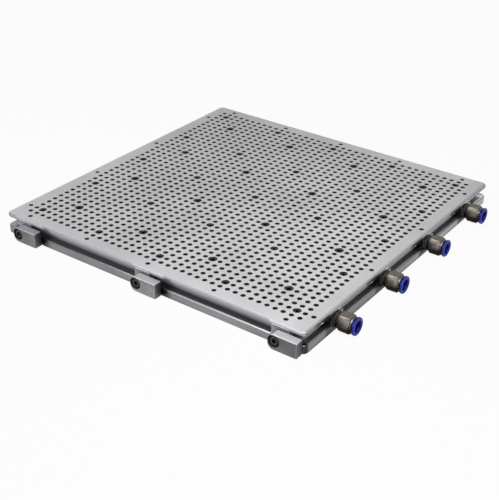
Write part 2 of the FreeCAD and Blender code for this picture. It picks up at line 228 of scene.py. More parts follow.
def roundedSlab():
    # the plate's outline and rounded rim, without its two flat faces
    bm = bmesh.new()
    lift = Matrix.Translation((0.0, 0.0, plateTop))
    bmesh.ops.create_grid(bm, x_segments=1, y_segments=1, size=plateHalf, matrix=lift)
    bmesh.ops.bevel(bm, geom=bm.verts[:], affect="VERTICES", offset=suctionPlate["cornerRadius"],
                    segments=suctionPlate["cornerSteps"], profile=0.5, material=-1)
    made = bmesh.ops.extrude_face_region(bm, geom=bm.faces[:])
    bmesh.ops.translate(bm, verts=vertsOf(made), vec=(0.0, 0.0, plateBottom - plateTop))
    rims = [edge for edge in bm.edges if isLevel(edge, plateTop) or isLevel(edge, plateBottom)]
    bmesh.ops.bevel(bm, geom=rims, affect="EDGES", offset=suctionPlate["edgeRound"],
                    segments=suctionPlate["roundSteps"], profile=0.5, material=-1)
    flats = [face for face in bm.faces if all(isLevel(edge, face.verts[0].co.z) for edge in face.edges)]
    bmesh.ops.delete(bm, geom=flats, context="FACES_ONLY")
    return meshOf(bm, "rim")


def edgeHolePlaces():
    # the single holes outside the field, one pitch from its outer row
    edgeLine = suctionPlate["pitch"] * (suctionPlate["rows"] + 1) / 2
    screwLine = linePlaces(suctionPlate["screws"], suctionPlate["screwSpacing"])
    sideLine = [screwLine[0] + number * suctionPlate["sideHoleSpacing"] for number in range(suctionPlate["sideHoles"])]
    places = [(x, side * edgeLine) for x in screwLine for side in (-1, 1)]
    return places + [(side * edgeLine, y) for y in sideLine for side in (-1, 1)]


def makeSuctionPlate():
    bm = bmesh.new()
    addHoleField(bm)
    bmesh.ops.remove_doubles(bm, verts=bm.verts, dist=mergeDistance)
    bm.from_mesh(roundedSlab())
    outline = holeOutline("edge")
    for x, y in edgeHolePlaces():
        centre = Vector((x, y, plateTop))
        pullRound(bm, circleLoop(bm, suctionPlate["holeSides"], outline[0][0], centre), centre, outline)
    for height in (plateTop, plateBottom):
        gaps = [edge for edge in bm.edges if len(edge.link_faces) == 1 and isLevel(edge, height)]
        bmesh.ops.triangle_fill(bm, use_beauty=True, edges=gaps)
    finishPiece(cleaned(bm), "suction_plate", "top_plate")


# Screws and plugs

plateScrew = {
    "headRadius": 0.00425,
    "headHeight": 0.0035,
    "shankRadius": 0.0025,
    "length": 0.012,
    "bevel": 0.00035,
    "socketWidth": 0.004,
    "socketDepth": 0.0019,
    "socketBevel": 0.00015,
    "sides": 32,
}
portPlug = {
    "radius": 0.005,
    "length": 0.006,
    "bevel": 0.0008,
    "socketWidth": 0.005,
    "socketDepth": 0.003,
    "socketBevel": 0.0002,
    "sides": 36,
}
pivotScrew = {
    "headRadius": 0.005,
    "headHeight": 0.004,
    "shankRadius": 0.003,
    "length": 0.016,
    "bevel": 0.00035,
    "socketWidth": 0.004,
    "socketDepth": 0.0022,
    "socketBevel": 0.00015,
    "sides": 48,
}
turnStep = 17.0                # degrees from one screw or plug to the next


def socketedMesh(sizes, outline):
    # turned about +Z from its outer end down, with a hexagon socket in that end
    bm = bmesh.new()
    top = outline[0][1]
    centre = Vector((0.0, 0.0, top))
    socket = sizes["socketWidth"] / math.sqrt(3)
    lead = sizes["socketBevel"]
    rim = circleLoop(bm, sizes["sides"], outline[0][0], centre)
    hexagon = circleLoop(bm, 6, socket + lead, centre)
    bmesh.ops.triangle_fill(bm, use_beauty=True, edges=rim + hexagon)
    wall = [(socket + lead, top), (socket, top - lead), (socket, top - sizes["socketDepth"])]
    bmesh.ops.edgeloop_fill(bm, edges=pullRound(bm, hexagon, centre, wall))
    bmesh.ops.edgeloop_fill(bm, edges=pullRound(bm, rim, centre, outline))
    return meshOf(cleaned(bm), "socketed")


def screwMesh(sizes):
    # head up, with its seat at the origin
    bevel = sizes["bevel"]
    return socketedMesh(sizes, [
        (sizes["headRadius"] - bevel, sizes["headHeight"]),
        (sizes["headRadius"], sizes["headHeight"] - bevel),
        (sizes["headRadius"], 0.0),
        (sizes["shankRadius"], 0.0),
        (sizes["shankRadius"], bevel - sizes["length"]),
        (sizes["shankRadius"] - bevel, -sizes["length"]),
    ])


def plugMesh(sizes):
    # outer end at the origin
    bevel = sizes["bevel"]
    return socketedMesh(sizes, [
        (sizes["radius"] - bevel, 0.0),
        (sizes["radius"], -bevel),
        (sizes["radius"], bevel - sizes["length"]),
        (sizes["radius"] - bevel, -sizes["length"]),
    ])


def makeSet(name, node, mesh, places, turn=Matrix.Identity(4)):
    # copies of one mesh, each turned a little further about its own axis
    bm = bmesh.new()
    for number, place in enumerate(places):
        copy = mesh.copy()
        copy.transform(Matrix.Translation(place) @ turn @ Matrix.Rotation(math.radians(turnStep * number), 4, "Z"))
        bm.from_mesh(copy)
    finishPiece(bm, name, node)


def makeScrews():
    screwLine = linePlaces(suctionPlate["screws"], suctionPlate["screwSpacing"])
    portLine = linePlaces(suctionPlate["ports"], suctionPlate["portSpacing"])
    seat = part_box("plate_screws")[1].z - plateScrew["headHeight"]
    makeSet("plate_screw_set", "plate_screws", screwMesh(plateScrew),
            [Vector((x, y, seat)) for x in screwLine for y in screwLine])
    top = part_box("port_plugs")[1].z
    makeSet("port_plug_set", "port_plugs", plugMesh(portPlug),
            [Vector((x, y, top)) for x in portLine for y in portLine])
    low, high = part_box("pivot_screws")
    seat = low.y + pivotScrew["headHeight"]
    height = (low.z + high.z) / 2
    makeSet("pivot_screw_set", "pivot_screws", screwMesh(pivotScrew),
            [Vector((x, seat, height)) for x in linePlaces(stopBar["count"], stopBar["spacing"])],
            Matrix.Rotation(math.radians(90), 4, "X"))


# CAD solids that keep their shape, with smooth faces and fine edge bevels

edgeBevel = {
    "base_plate": 0.0002,
    "fitting_body": 0.0003,
    "release_collar": 0.0002,
}
smoothing = {
    "mergeDistance": 0.000002,
    "sharpAngle": 28.0,            # degrees, above which an edge is shaded sharp
    "bevelAngle": 40.0,            # degrees, above which an edge gets its bevel
    "bevelSegments": 2,
}


def smoothCopy(node):
    # the CAD node's own mesh, merged first because it is loose triangles
    bm = bmesh.new()
    bm.from_mesh(frame["nodes"][node].data)
    bmesh.ops.remove_doubles(bm, verts=bm.verts, dist=smoothing["mergeDistance"])
    piece = finishPiece(bm, node + "_shape", node, smoothing["sharpAngle"])
    width = edgeBevel.get(node.rstrip("_1234"))
    if width:
        bevel = piece.modifiers.new("edge", "BEVEL")
        bevel.width = width
        bevel.segments = smoothing["bevelSegments"]
        bevel.limit_method = "ANGLE"
        bevel.angle_limit = math.radians(smoothing["bevelAngle"])
        bevel.harden_normals = True


# Shader maths

class Wire:
    # one output of a node, which can be used in sums
    def __init__(self, paint, out):
        self.paint = paint
        self.out = out

    def join(self, operation, first, second):
        return self.paint.node("ShaderNodeMath", {"operation": operation}, {0: first, 1: second})

    def __add__(self, other):
        return self.join("ADD", self, other)

    def __radd__(self, other):
        return self.join("ADD", other, self)

    def __sub__(self, other):
        return self.join("SUBTRACT", self, other)

    def __rsub__(self, other):
        return self.join("SUBTRACT", other, self)

    def __mul__(self, other):
        return self.join("MULTIPLY", self, other)

    def __rmul__(self, other):
        return self.join("MULTIPLY", other, self)


class Paint:
    # one material, and the nodes that are added to it
    def __init__(self, name, base=None):
        self.material = base or bpy.data.materials.new(name)
        self.material.use_nodes = True
        self.tree = self.material.node_tree
        self.tree.nodes.clear()

    def node(self, kind, settings=None, inputs=None, output=0):
        made = self.tree.nodes.new(kind)
        for key, value in (settings or {}).items():
            setattr(made, key, value)
        for key, value in (inputs or {}).items():
            if isinstance(value, Wire):
                self.tree.links.new(value.out, made.inputs[key])
            else:
                made.inputs[key].default_value = value
        return Wire(self, made.outputs[output] if made.outputs else None)

    def place(self):
        return self.node("ShaderNodeTexCoord", output="Object")

    def axes(self, spot):
        outs = self.node("ShaderNodeSeparateXYZ", None, {0: spot}).out.node.outputs
        return [Wire(self, out) for out in outs]

    def stretched(self, spot, amounts):
        return self.node("ShaderNodeVectorMath", {"operation": "MULTIPLY"}, {0: spot, 1: amounts})

    def noise(self, spot, scale, detail, rough):
        return self.node("ShaderNodeTexNoise", None,
                         {"Vector": spot, "Scale": scale, "Detail": detail, "Roughness": rough})

    def step(self, value, low, high):
        # 0 below low, 1 above high, soft between
        return self.node("ShaderNodeMapRange", {"interpolation_type": "SMOOTHSTEP"},
                         {"Value": value, "From Min": low, "From Max": high})

    def until(self, value, low, high):
        # 1 below low, 0 above high
        return 1 - self.step(value, low, high)

    def larger(self, first, second):
        return self.node("ShaderNodeMath", {"operation": "MAXIMUM"}, {0: first, 1: second})

    def size(self, value):
        return self.node("ShaderNodeMath", {"operation": "ABSOLUTE"}, {0: value})

    def fromNearest(self, value, first, spacing):
        # how far the value is from the nearest of the places that repeat at this spacing
        return self.node("ShaderNodeMath", {"operation": "WRAP"}, {0: value - first, 1: spacing / 2, 2: -spacing / 2})

    def blend(self, mask, first, second):
        return self.node("ShaderNodeMix", {"data_type": "RGBA"}, {0: mask, 6: first, 7: second}, 2)

    def bump(self, height, distance, strength, under=None):
        sockets = {"Height": height, "Distance": distance, "Strength": strength}
        if under is not None:
            sockets["Normal"] = under
        return self.node("ShaderNodeBump", None, sockets)

    def surface(self, **sockets):
        shader = self.node("ShaderNodeBsdfPrincipled", None,
                           {key.replace("_", " "): value for key, value in sockets.items()})
        self.node("ShaderNodeOutputMaterial", None, {"Surface": shader})
        return self.material


def tone(red, green, blue):
    return (red, green, blue, 1.0)


# Finishes. Places and depths are in metres, and a pair of them says where a mark starts and where it is full.
# A noise has a scale, a detail and a roughness, and a bump has a height and a strength.

groundFinish = {
    "scratchStretch": (25.0, 1300.0, 400.0),
    "scratchNoise": (1.0, 4.0, 0.6),
    "scratchBump": (0.00003, 0.35),
    "cloudNoise": (12.0, 4.0, 0.55),
    "speckNoise": (900.0, 2.0, 0.6),
    "speckBump": (0.00002, 0.25),
    "metallic": 0.35,
    "roughness": 0.40,
    "grain": (tone(0.46, 0.463, 0.472), tone(0.57, 0.575, 0.587)),
    "grainSpread": (0.36, 0.64),
    "farCorner": tone(0.33, 0.332, 0.345),             # painted shade: the face darkens toward the back left
    "farCornerAt": (-0.10, 0.25),
    "farCornerSlope": 0.4,
    "farCornerStrength": 0.25,
    # painted shade along the right margin
    "rightMargin": tone(0.34, 0.341, 0.35),
    "rightMarginAt": (0.185, 0.200),
    "rightMarginStrength": 0.3,
    # painted shade on the right edge
    "rightEdge": tone(0.33, 0.33, 0.333),
    "rightEdgeAt": (0.2056, 0.2080),
    # painted shade on the walls of the holes
    "holeWall": tone(0.072, 0.071, 0.071),
    "holeDepth": (0.00005, 0.00025),
    "fieldEnd": (0.1940, 0.1950),
    "edgeHoleDepth": (0.00003, 0.0002),
    "edgeHolesEnd": (0.2045, 0.2055),
    "rimAt": (0.2060, 0.2070),
    "turned": (tone(0.215, 0.219, 0.24), tone(0.27, 0.274, 0.30)),      # milled finish with painted shade, lighter from the left to the right end of the front
    "turnedAt": (-0.15, 0.0),
    "turnedRight": tone(0.30, 0.299, 0.295),
    "turnedDepth": (0.0, 0.0007),
    "side": (tone(0.355, 0.356, 0.365), tone(0.17, 0.17, 0.172)),       # milled finish, front, then the right side darker as painted shade
    "sideDepth": (0.0010, 0.0022),
    # painted light on the lower rounding, front, then right side
    "under": (tone(0.40, 0.402, 0.43), tone(0.42, 0.42, 0.43)),
    "underDepth": (0.0032, 0.0058),
}
frontRimMarks = {
    "frontAt": (-0.209, -0.207),
    "overLand": (tone(0.72, 0.735, 0.80), tone(0.97, 0.975, 0.99)),     # light band that mirrors the land
    "overLandAt": (-0.15, 0.0),
    "overLandEnd": (0.0095, 0.0105),
    "overLandDepth": (0.002, 0.004),
    "overLandDulled": (-0.12, 0.0),                    # from here to the right the band isn't polished
    "slot": tone(0.02, 0.02, 0.021),                   # painted shadow behind the bar
    "slotStart": (0.0099, 0.0101),
    "slotEnd": (0.028, 0.036),
    "slotDepth": (0.0045, 0.0055),
    "slotStrength": 0.85,
    "overBar": (tone(0.36, 0.366, 0.41), tone(0.50, 0.506, 0.54)),      # the bar's top, mirrored
    "overBarAt": (-0.18, 0.18),
    "overBarMiddle": 0.008,
    "overBarEnd": (0.020, 0.023),
    "overBarDepth": (0.0, 0.0007),
    "overBarFloor": (0.0030, 0.0040),
    "overBarStrength": 0.85,
    # painted shadow beside the bar's end
    "besideBar": tone(0.06, 0.06, 0.064),
    "besideBarStart": (0.027, 0.033),
    "besideBarEnd": (0.037, 0.043),
    "besideBarDepth": (0.0003, 0.002),
    "besideBarStrength": 0.65,
}
rightRimMarks = {
    "nutReflection": tone(0.045, 0.045, 0.046),                  # dark mirror image before each fitting
    "nutStart": (-0.046, -0.038),
    "nutEnd": (-0.020, -0.012),
    "nutDepth": (0.0001, 0.0009),
    "nutStrength": 0.75,
    "shine": tone(0.44, 0.42, 0.385),                  # and a light one level with it
    "shineEnd": (0.004, 0.007),
    "shineDepth": (0.0008, 0.0020),
    "shineStrength": 0.8,
    "spot": tone(0.92, 0.92, 0.91),                    # painted glint, a small light spot before each fitting
    "spotFirst": -0.0812,
    "spotSpacing": 0.0989,
    "spotDepth": 0.0040,
    "spotEnd": (0.0013, 0.0023),
    "polishedDepth": (0.0002, 0.0010),
}


def markFrontRim(paint, colour, x, y, deep):
    # painted reflections of the stops and painted shadows behind and beside them on the rim's front; also gives the
    # mask of the painted reflection over each land
    marks = frontRimMarks
    along = paint.fromNearest(x, 0.0, stopBar["spacing"])
    front = paint.until(y, *marks["frontAt"])
    # painted reflection of each land, a light band
    overLand = paint.until(paint.size(along), *marks["overLandEnd"]) * paint.step(deep, *marks["overLandDepth"]) * front
    light = paint.blend(paint.step(x, *marks["overLandAt"]), *marks["overLand"])
    colour = paint.blend(overLand, colour, light)
    # painted shadow behind the bar, on the rim's lower rounding
    slot = paint.step(along, *marks["slotStart"]) * paint.until(along, *marks["slotEnd"])
    slot = slot * paint.step(deep, *marks["slotDepth"]) * front
    colour = paint.blend(slot * marks["slotStrength"], colour, marks["slot"])
    # painted reflection of the bar's top
    overBar = paint.until(paint.size(along - marks["overBarMiddle"]), *marks["overBarEnd"]) * front
    overBar = overBar * paint.step(deep, *marks["overBarDepth"]) * paint.until(deep, *marks["overBarFloor"])
    light = paint.blend(paint.step(x, *marks["overBarAt"]), *marks["overBar"])
    colour = paint.blend(overBar * marks["overBarStrength"], colour, light)
    # painted shadow beside the bar's end
    beside = paint.step(along, *marks["besideBarStart"]) * paint.until(along, *marks["besideBarEnd"])
    beside = beside * paint.step(deep, *marks["besideBarDepth"]) * front
    return paint.blend(beside * marks["besideBarStrength"], colour, marks["besideBar"]), overLand


def markRightRim(paint, colour, y, deep, rightward):
    # painted reflections of the fittings and a painted glint before each on the rim's right side; also gives the mask
    # of the glints
    marks = rightRimMarks
    along = paint.fromNearest(y, fitting["spacing"] / 2, fitting["spacing"])
    # painted reflection of each fitting, dark, before it
    nutReflection = paint.step(along, *marks["nutStart"]) * paint.until(along, *marks["nutEnd"])
    nutReflection = nutReflection * paint.step(deep, *marks["nutDepth"]) * rightward
    colour = paint.blend(nutReflection * marks["nutStrength"], colour, marks["nutReflection"])
    # painted reflection, light, level with each fitting
    shine = paint.until(paint.size(along), *marks["shineEnd"]) * paint.step(deep, *marks["shineDepth"]) * rightward
    colour = paint.blend(shine * marks["shineStrength"], colour, marks["shine"])
    # painted glint before each fitting
    fromGlint = paint.size(paint.fromNearest(y, marks["spotFirst"], marks["spotSpacing"]))
    spot = paint.until(fromGlint + paint.size(deep - marks["spotDepth"]), *marks["spotEnd"]) * rightward
    return paint.blend(spot, colour, marks["spot"]), spot


def groundAluminium():
    # suction plate: ground along X, with painted shade in the holes, toward the back left and along the right edge, and
    # the stops and fittings mirrored in its rim as painted reflections
    look = groundFinish
    paint = Paint("groundAluminium")
    spot = paint.place()
    x, y, z = paint.axes(spot)
    scratch = paint.noise(paint.stretched(spot, look["scratchStretch"]), *look["scratchNoise"])
    cloud = paint.noise(spot, *look["cloudNoise"])
    speck = paint.noise(spot, *look["speckNoise"])
    shade = cloud * 0.5 + scratch * 0.35 + speck * 0.15
    face = paint.blend(paint.step(shade, *look["grainSpread"]), *look["grain"])
    # painted shade toward the back left
    farCorner = paint.step(y - x * look["farCornerSlope"], *look["farCornerAt"])
    face = paint.blend(farCorner * look["farCornerStrength"], face, look["farCorner"])
    # painted shade along the right margin and on the right edge
    rightMargin = paint.step(x, *look["rightMarginAt"])
    face = paint.blend(rightMargin * look["rightMarginStrength"], face, look["rightMargin"])
    rightward = paint.step(x, *look["rightEdgeAt"])
    face = paint.blend(rightward, face, look["rightEdge"])

    outward = paint.larger(paint.size(x), paint.size(y))
    deep = plateTop - z
    # painted shade in the holes, small and edge holes
    border = paint.step(outward, *look["fieldEnd"])
    inHole = paint.step(deep, *look["holeDepth"]) * (1 - border)
    inEdgeHole = paint.step(deep, *look["edgeHoleDepth"]) * border * paint.until(outward, *look["edgeHolesEnd"])
    dark = paint.larger(inHole, inEdgeHole)

    # the rim's milled finish, with painted shade on its right side and painted light on its lower rounding
    rim = paint.step(outward, *look["rimAt"])
    turned = paint.blend(paint.step(x, *look["turnedAt"]), *look["turned"])
    turned = paint.blend(rightward, turned, look["turnedRight"])
    colour = paint.blend(paint.step(deep, *look["turnedDepth"]) * rim, face, turned)
    colour = paint.blend(paint.step(deep, *look["sideDepth"]) * rim, colour, paint.blend(rightward, *look["side"]))
    under = paint.step(deep, *look["underDepth"]) * rim
    colour = paint.blend(under, colour, paint.blend(rightward, *look["under"]))
    colour, overLand = markFrontRim(paint, colour, x, y, deep)
    colour, paintedGlint = markRightRim(paint, colour, y, deep, rightward)
    colour = paint.blend(dark, colour, look["holeWall"])

    polished = rightward * paint.step(deep, *rightRimMarks["polishedDepth"]) * (1 - under * 0.7)
    polished = paint.larger(polished, paintedGlint)
    dulled = overLand * paint.step(x, *frontRimMarks["overLandDulled"])
    mirror = under * (1 - paint.larger(rightward, dulled))
    mirror = paint.larger(paint.larger(dark, mirror), polished)
    rough = look["roughness"] + scratch * 0.12 + cloud * 0.06 + dark * 0.3 - polished * 0.3
    lift = paint.bump(scratch, *look["scratchBump"], paint.bump(speck, *look["speckBump"]))
    return paint.surface(Base_Color=colour, Metallic=look["metallic"] + mirror * 0.6, Roughness=rough, Normal=lift)


milledFinish = {
    "lineStretch": (24.0, 24.0, 1500.0),
    "lineNoise": (1.0, 3.0, 0.5),
    "lineBump": (0.00003, 0.3),
    "cloudNoise": (30.0, 3.0, 0.5),
    "metallic": 0.4,
    "roughness": 0.30,
    "grain": (tone(0.22, 0.222, 0.228), tone(0.29, 0.292, 0.30)),
    "grainSpread": (0.38, 0.62),
    "sideSpread": (0.0, 0.0004),                       # from the front to the right side, at the corner
    "leftToRight": (-0.13, 0.17),
    # painted shade on the front and the right side
    "sideShade": tone(0.13, 0.131, 0.134),
    "sideShadeRight": (-0.09, 0.06),                        # on the right side it fades toward the back
    "sideShadeRightStrength": 0.45,
    "sideShadeFrontStrength": 0.3,                          # on the front it fades toward the right
    "light": tone(0.42, 0.42, 0.425),                  # painted light on the right side's back half
    "lightAt": (-0.06, 0.10),
    "lightStrength": 0.4,
    "bevel": (tone(0.060, 0.062, 0.066), tone(0.45, 0.455, 0.47)),      # the chamfer: painted shade at the left end, painted highlight at the right end of the front
    # painted shade on the chamfer of the right side
    "bevelRight": tone(0.20, 0.202, 0.21),
    "bevelStart": (-0.0011, -0.0009),                  # heights from the ledge
    "bevelEnd": (0.0, 0.0003),
    "bevelInset": (0.0010, 0.0012),
    "ledgeStart": (-0.0003, 0.0001),
    "ledgeEnd": (0.0002, 0.0005),
    "stroke": tone(0.62, 0.62, 0.62),                  # fine lines along the ledge
    "strokesPerMetre": 1300.0,
    "strokeSpread": (0.42, 0.58),
    "strokeStrength": 0.65,
    "frontInset": (0.0002, 0.0036),                    # where the groove's painted shade starts behind the edge
    "frontInsetLeft": 0.0022,                          # so much sooner at the left end
    "rightInset": (0.0012, 0.0038),
    "cornerInset": (0.010, 0.014),
    "wall": (tone(0.33, 0.335, 0.39), tone(0.85, 0.85, 0.87)),          # painted light up the groove's wall, front, then right side
    "wallStart": (0.0, 0.0045),
    "floor": (tone(0.055, 0.056, 0.065), tone(0.20, 0.20, 0.202)),      # painted shade at the groove's floor, then deep in the right side
    "floorInset": (0.0046, 0.0072),
    "land": (tone(0.42, 0.435, 0.52), tone(0.97, 0.97, 0.975)),         # painted light on the sides of the stops' lands, left to right
    "landSpread": (0.0002, 0.0004),
    "landInset": (0.006, 0.009),
    # painted shade along the bottom
    "foot": tone(0.04, 0.04, 0.04),
    "footHeight": (0.0008, 0.0042),
}
landMarks = {
    "dark": tone(0.02, 0.02, 0.02),                    # painted reflection of the fitting before each, and painted shade at the ends of its land
    "darkStart": (-0.025, -0.018),
    "darkEnd": (-0.004, 0.001),
    "darkStrength": 0.8,
    "endSpread": (0.0003, 0.0007),
    # painted highlight on the land's outer edge
    "edge": tone(0.75, 0.75, 0.74),
    "edgeInset": (0.0006, 0.0012),
    "edgeStrength": 0.8,
    "shade": tone(0.012, 0.012, 0.013),                # behind each bar and beside its end
    "shadeStart": (0.0099, 0.0101),
    "shadeStartLow": (0.012, 0.027),
    "shadeEnd": (0.031, 0.045),
    "shadeInset": (0.004, 0.008),
    "shadeStrength": 0.85,
}


def markLands(paint, colour, x, y, raised, rightSide):
    # painted reflections of the fittings with painted shade and highlights on their lands, and the painted shade by the
    # stops; also gives the mask of that shade
    marks = landMarks
    along = paint.fromNearest(y, fitting["spacing"] / 2, fitting["spacing"])
    landEnd = paint.size(along + basePlate["fittingLand"] / 2)
    landEnd = paint.until(landEnd, *marks["endSpread"]) * raised * rightSide
    # painted reflection of each fitting, and painted shade at its land's ends
    dark = paint.step(along, *marks["darkStart"]) * paint.until(along, *marks["darkEnd"]) * rightSide
    colour = paint.blend(paint.larger(dark * marks["darkStrength"], landEnd), colour, marks["dark"])
    # painted highlight on the land's outer edge
    outermost = paint.until(plateHalf - x, *marks["edgeInset"])
    colour = paint.blend(landEnd * outermost * marks["edgeStrength"], colour, marks["edge"])
    along = paint.fromNearest(x, 0.0, stopBar["spacing"])
    shade = raised * paint.step(along, *marks["shadeStart"]) + (1 - raised) * paint.step(along, *marks["shadeStartLow"])
    shade = shade * paint.until(along, *marks["shadeEnd"]) * paint.until(plateHalf + y, *marks["shadeInset"])
    return paint.blend(shade * marks["shadeStrength"], colour, marks["shade"]), shade


def milledAluminium():
    # base: brushed sides and ledge, with painted shade at the groove's floor and painted light up its wall, and painted
    # light and shade on its sides, lands and chamfer
    look = milledFinish
    paint = Paint("milledAluminium")
    spot = paint.place()
    x, y, z = paint.axes(spot)
    lines = paint.noise(paint.stretched(spot, look["lineStretch"]), *look["lineNoise"])
    cloud = paint.noise(spot, *look["cloudNoise"])
    outward = paint.larger(paint.size(x), paint.size(y))
    inward = paint.size(x) + paint.size(y) - outward
    inset = plateHalf - outward
    above = z - ledgeTop
    rightSide = paint.step(x - paint.size(y), *look["sideSpread"])
    rightward = paint.step(x, *look["leftToRight"])
    raised = paint.step(above, *look["ledgeStart"])

    plain = paint.blend(paint.step(lines * 0.6 + cloud * 0.4, *look["grainSpread"]), *look["grain"])
    # painted shade toward the front of the right side and the left of the front
    sideShadeRight = rightSide * paint.until(y, *look["sideShadeRight"]) * look["sideShadeRightStrength"]
    sideShadeFront = (1 - rightward) * look["sideShadeFrontStrength"]
    plain = paint.blend(paint.larger(sideShadeRight, sideShadeFront), plain, look["sideShade"])
    # painted light on the right side's back half
    plain = paint.blend(rightSide * paint.step(y, *look["lightAt"]) * look["lightStrength"], plain, look["light"])
    # the chamfer: painted highlight, and painted shade at the left end and on the right side
    bevel = paint.step(above, *look["bevelStart"]) * paint.until(above, *look["bevelEnd"])
    bevel = bevel * paint.until(inset, *look["bevelInset"])
    plain = paint.blend(bevel, plain, paint.blend(rightward, *look["bevel"]))
    plain = paint.blend(bevel * rightSide, plain, look["bevelRight"])
    strokes = paint.node("ShaderNodeTexNoise", {"noise_dimensions": "1D"},
                         {"W": outward * look["strokesPerMetre"], "Scale": 1.0, "Detail": 2.0})
    strokes = raised * paint.until(above, *look["ledgeEnd"]) * paint.step(strokes, *look["strokeSpread"])
    plain = paint.blend(strokes * look["strokeStrength"], plain, look["stroke"])

    # the groove: painted shade at its floor and painted light up its wall
    frontInner = paint.step(inset + (1 - rightward) * look["frontInsetLeft"], *look["frontInset"])
    rightInner = paint.step(plateHalf - x, *look["rightInset"])
    corner = paint.until(plateHalf - inward, *look["cornerInset"])
    landSide = paint.size(paint.size(paint.fromNearest(x, 0.0, stopBar["spacing"])) - basePlate["stopLand"] / 2)
    landFace = paint.until(landSide, *look["landSpread"]) * paint.until(plateHalf + y, *look["landInset"])
    inner = (rightSide * rightInner + (1 - rightSide) * frontInner) * raised
    inner = inner * (1 - paint.larger(corner, landFace))
    high = paint.step(above, *look["wallStart"])
    floor = paint.blend(rightSide * paint.step(plateHalf - x, *look["floorInset"]), *look["floor"])
    groove = paint.blend(high, floor, paint.blend(rightSide, *look["wall"]))

    colour = paint.blend(inner, plain, groove)
    # painted light on the stops' lands
    colour = paint.blend(landFace * raised, colour, paint.blend(rightward, *look["land"]))
    # painted shade along the bottom, strongest on the right side
    foot = paint.until(z, *look["footHeight"]) * (rightSide * 0.65 + 0.15)
    colour = paint.blend(foot, colour, look["foot"])
    colour, shade = markLands(paint, colour, x, y, raised, rightSide)
    polished = paint.larger(rightSide * (1 - inner), shade)
    mirror = paint.larger(inner * (0.4 - rightSide * high * 0.4), polished * 0.55)
    rough = look["roughness"] + cloud * 0.12 + inner * 0.15 - polished * 0.12
    return paint.surface(Base_Color=colour, Metallic=look["metallic"] + mirror, Roughness=rough,
                         Normal=paint.bump(lines, *look["lineBump"]))


satinFinish = {
    "brushStretch": (60.0, 1600.0, 1600.0),
    "brushNoise": (1.0, 3.0, 0.6),
    "brushBump": (0.00003, 0.35),
    "cloudNoise": (110.0, 3.0, 0.5),
    "metallic": 0.35,
    "roughness": 0.40,
    "grain": (tone(0.205, 0.205, 0.213), tone(0.305, 0.308, 0.32)),
    "grainSpread": (0.36, 0.64),
    "leftToRight": (-0.20, 0.18),
    "outerBarShade": tone(0.085, 0.085, 0.088),            # painted shade: the left and the right bar darker
    "outerBarsMiddle": -0.03,
    "outerBarsAt": (0.08, 0.17),
    "outerBarsStrength": 0.8,
    "endShade": (tone(0.11, 0.11, 0.108), tone(0.02, 0.02, 0.02)),          # painted shade on the end face, front to back
    "endShadeAt": (0.001, 0.007),
    "endFaceSpread": (0.0001, 0.0005),
    "endShadeStrength": 0.85,
    "topFace": (tone(0.29, 0.296, 0.32), tone(0.52, 0.53, 0.56)),       # painted light on the top face, left to right
    "topFaceDepth": (0.0002, 0.0007),
    "topFaceStrength": 0.8,
    # painted highlight along the top-front and end edges
    "edgeHighlight": tone(0.62, 0.63, 0.66),
    "highlightWidth": (0.0004, 0.0012),
    "endHighlightWidth": (0.0005, 0.0013),
    "bore": (tone(0.008, 0.008, 0.008), tone(0.025, 0.025, 0.025)),     # painted shade in and around the counterbore, left to middle
    "boreAt": (-0.18, 0.0),
    "boreExtra": 0.0003,                               # the dark ring is a little wider than the bore
    "boreSpread": 0.0004,
}


def satinAluminium():
    # stop bars: brushed along their length, with painted highlights on the edges, painted light on the top faces, and
    # painted shade in the counterbore, on the end faces and on the outer bars
    look = satinFinish
    paint = Paint("satinAluminium")
    spot = paint.place()
    x, y, z = paint.axes(spot)
    low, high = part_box("stop_bar_middle")
    pivot = centreOf("pivot_bush_middle")
    along = paint.fromNearest(x, pivot.x, stopBar["spacing"])
    belowTop = high.z - z
    fromFront = y - low.y
    fromEnd = high.x - pivot.x - along
    rightward = paint.step(x, *look["leftToRight"])
    brushed = paint.noise(paint.stretched(spot, look["brushStretch"]), *look["brushNoise"])
    cloud = paint.noise(spot, *look["cloudNoise"])
    colour = paint.blend(paint.step(cloud * 0.5 + brushed * 0.5, *look["grainSpread"]), *look["grain"])
    # painted shade on the outer bars
    outer = paint.step(paint.size(x - look["outerBarsMiddle"]), *look["outerBarsAt"])
    colour = paint.blend(outer * look["outerBarsStrength"], colour, look["outerBarShade"])
    # painted shade on the end face
    endShade = paint.until(fromEnd, *look["endFaceSpread"]) * look["endShadeStrength"]
    colour = paint.blend(endShade, colour, paint.blend(paint.step(fromFront, *look["endShadeAt"]), *look["endShade"]))
    # painted light on the top face
    topFace = paint.until(belowTop, *look["topFaceDepth"]) * look["topFaceStrength"]
    colour = paint.blend(topFace, colour, paint.blend(rightward, *look["topFace"]))
    # painted highlight along the edges
    frontEdge = paint.until(fromFront, *look["highlightWidth"])
    topEdge = paint.until(belowTop, *look["highlightWidth"]) * frontEdge
    endEdge = paint.until(fromEnd, *look["endHighlightWidth"]) * paint.step(fromEnd, *look["endFaceSpread"]) * frontEdge
    paintedHighlight = paint.larger(topEdge * (0.3 + rightward * 0.6), endEdge * 0.4)
    colour = paint.blend(paintedHighlight, colour, look["edgeHighlight"])
    # painted shade in and around the counterbore
    upward = z - pivot.z
    ring = stopBar["counterbore"] + look["boreExtra"]
    bore = paint.until(along * along + upward * upward, ring ** 2, (ring + look["boreSpread"]) ** 2)
    colour = paint.blend(bore, colour, paint.blend(paint.step(x, *look["boreAt"]), *look["bore"]))
    return paint.surface(Base_Color=colour, Metallic=look["metallic"] + bore * 0.65,
                         Roughness=look["roughness"] + cloud * 0.10 + bore * 0.3,
                         Normal=paint.bump(brushed, *look["brushBump"]))


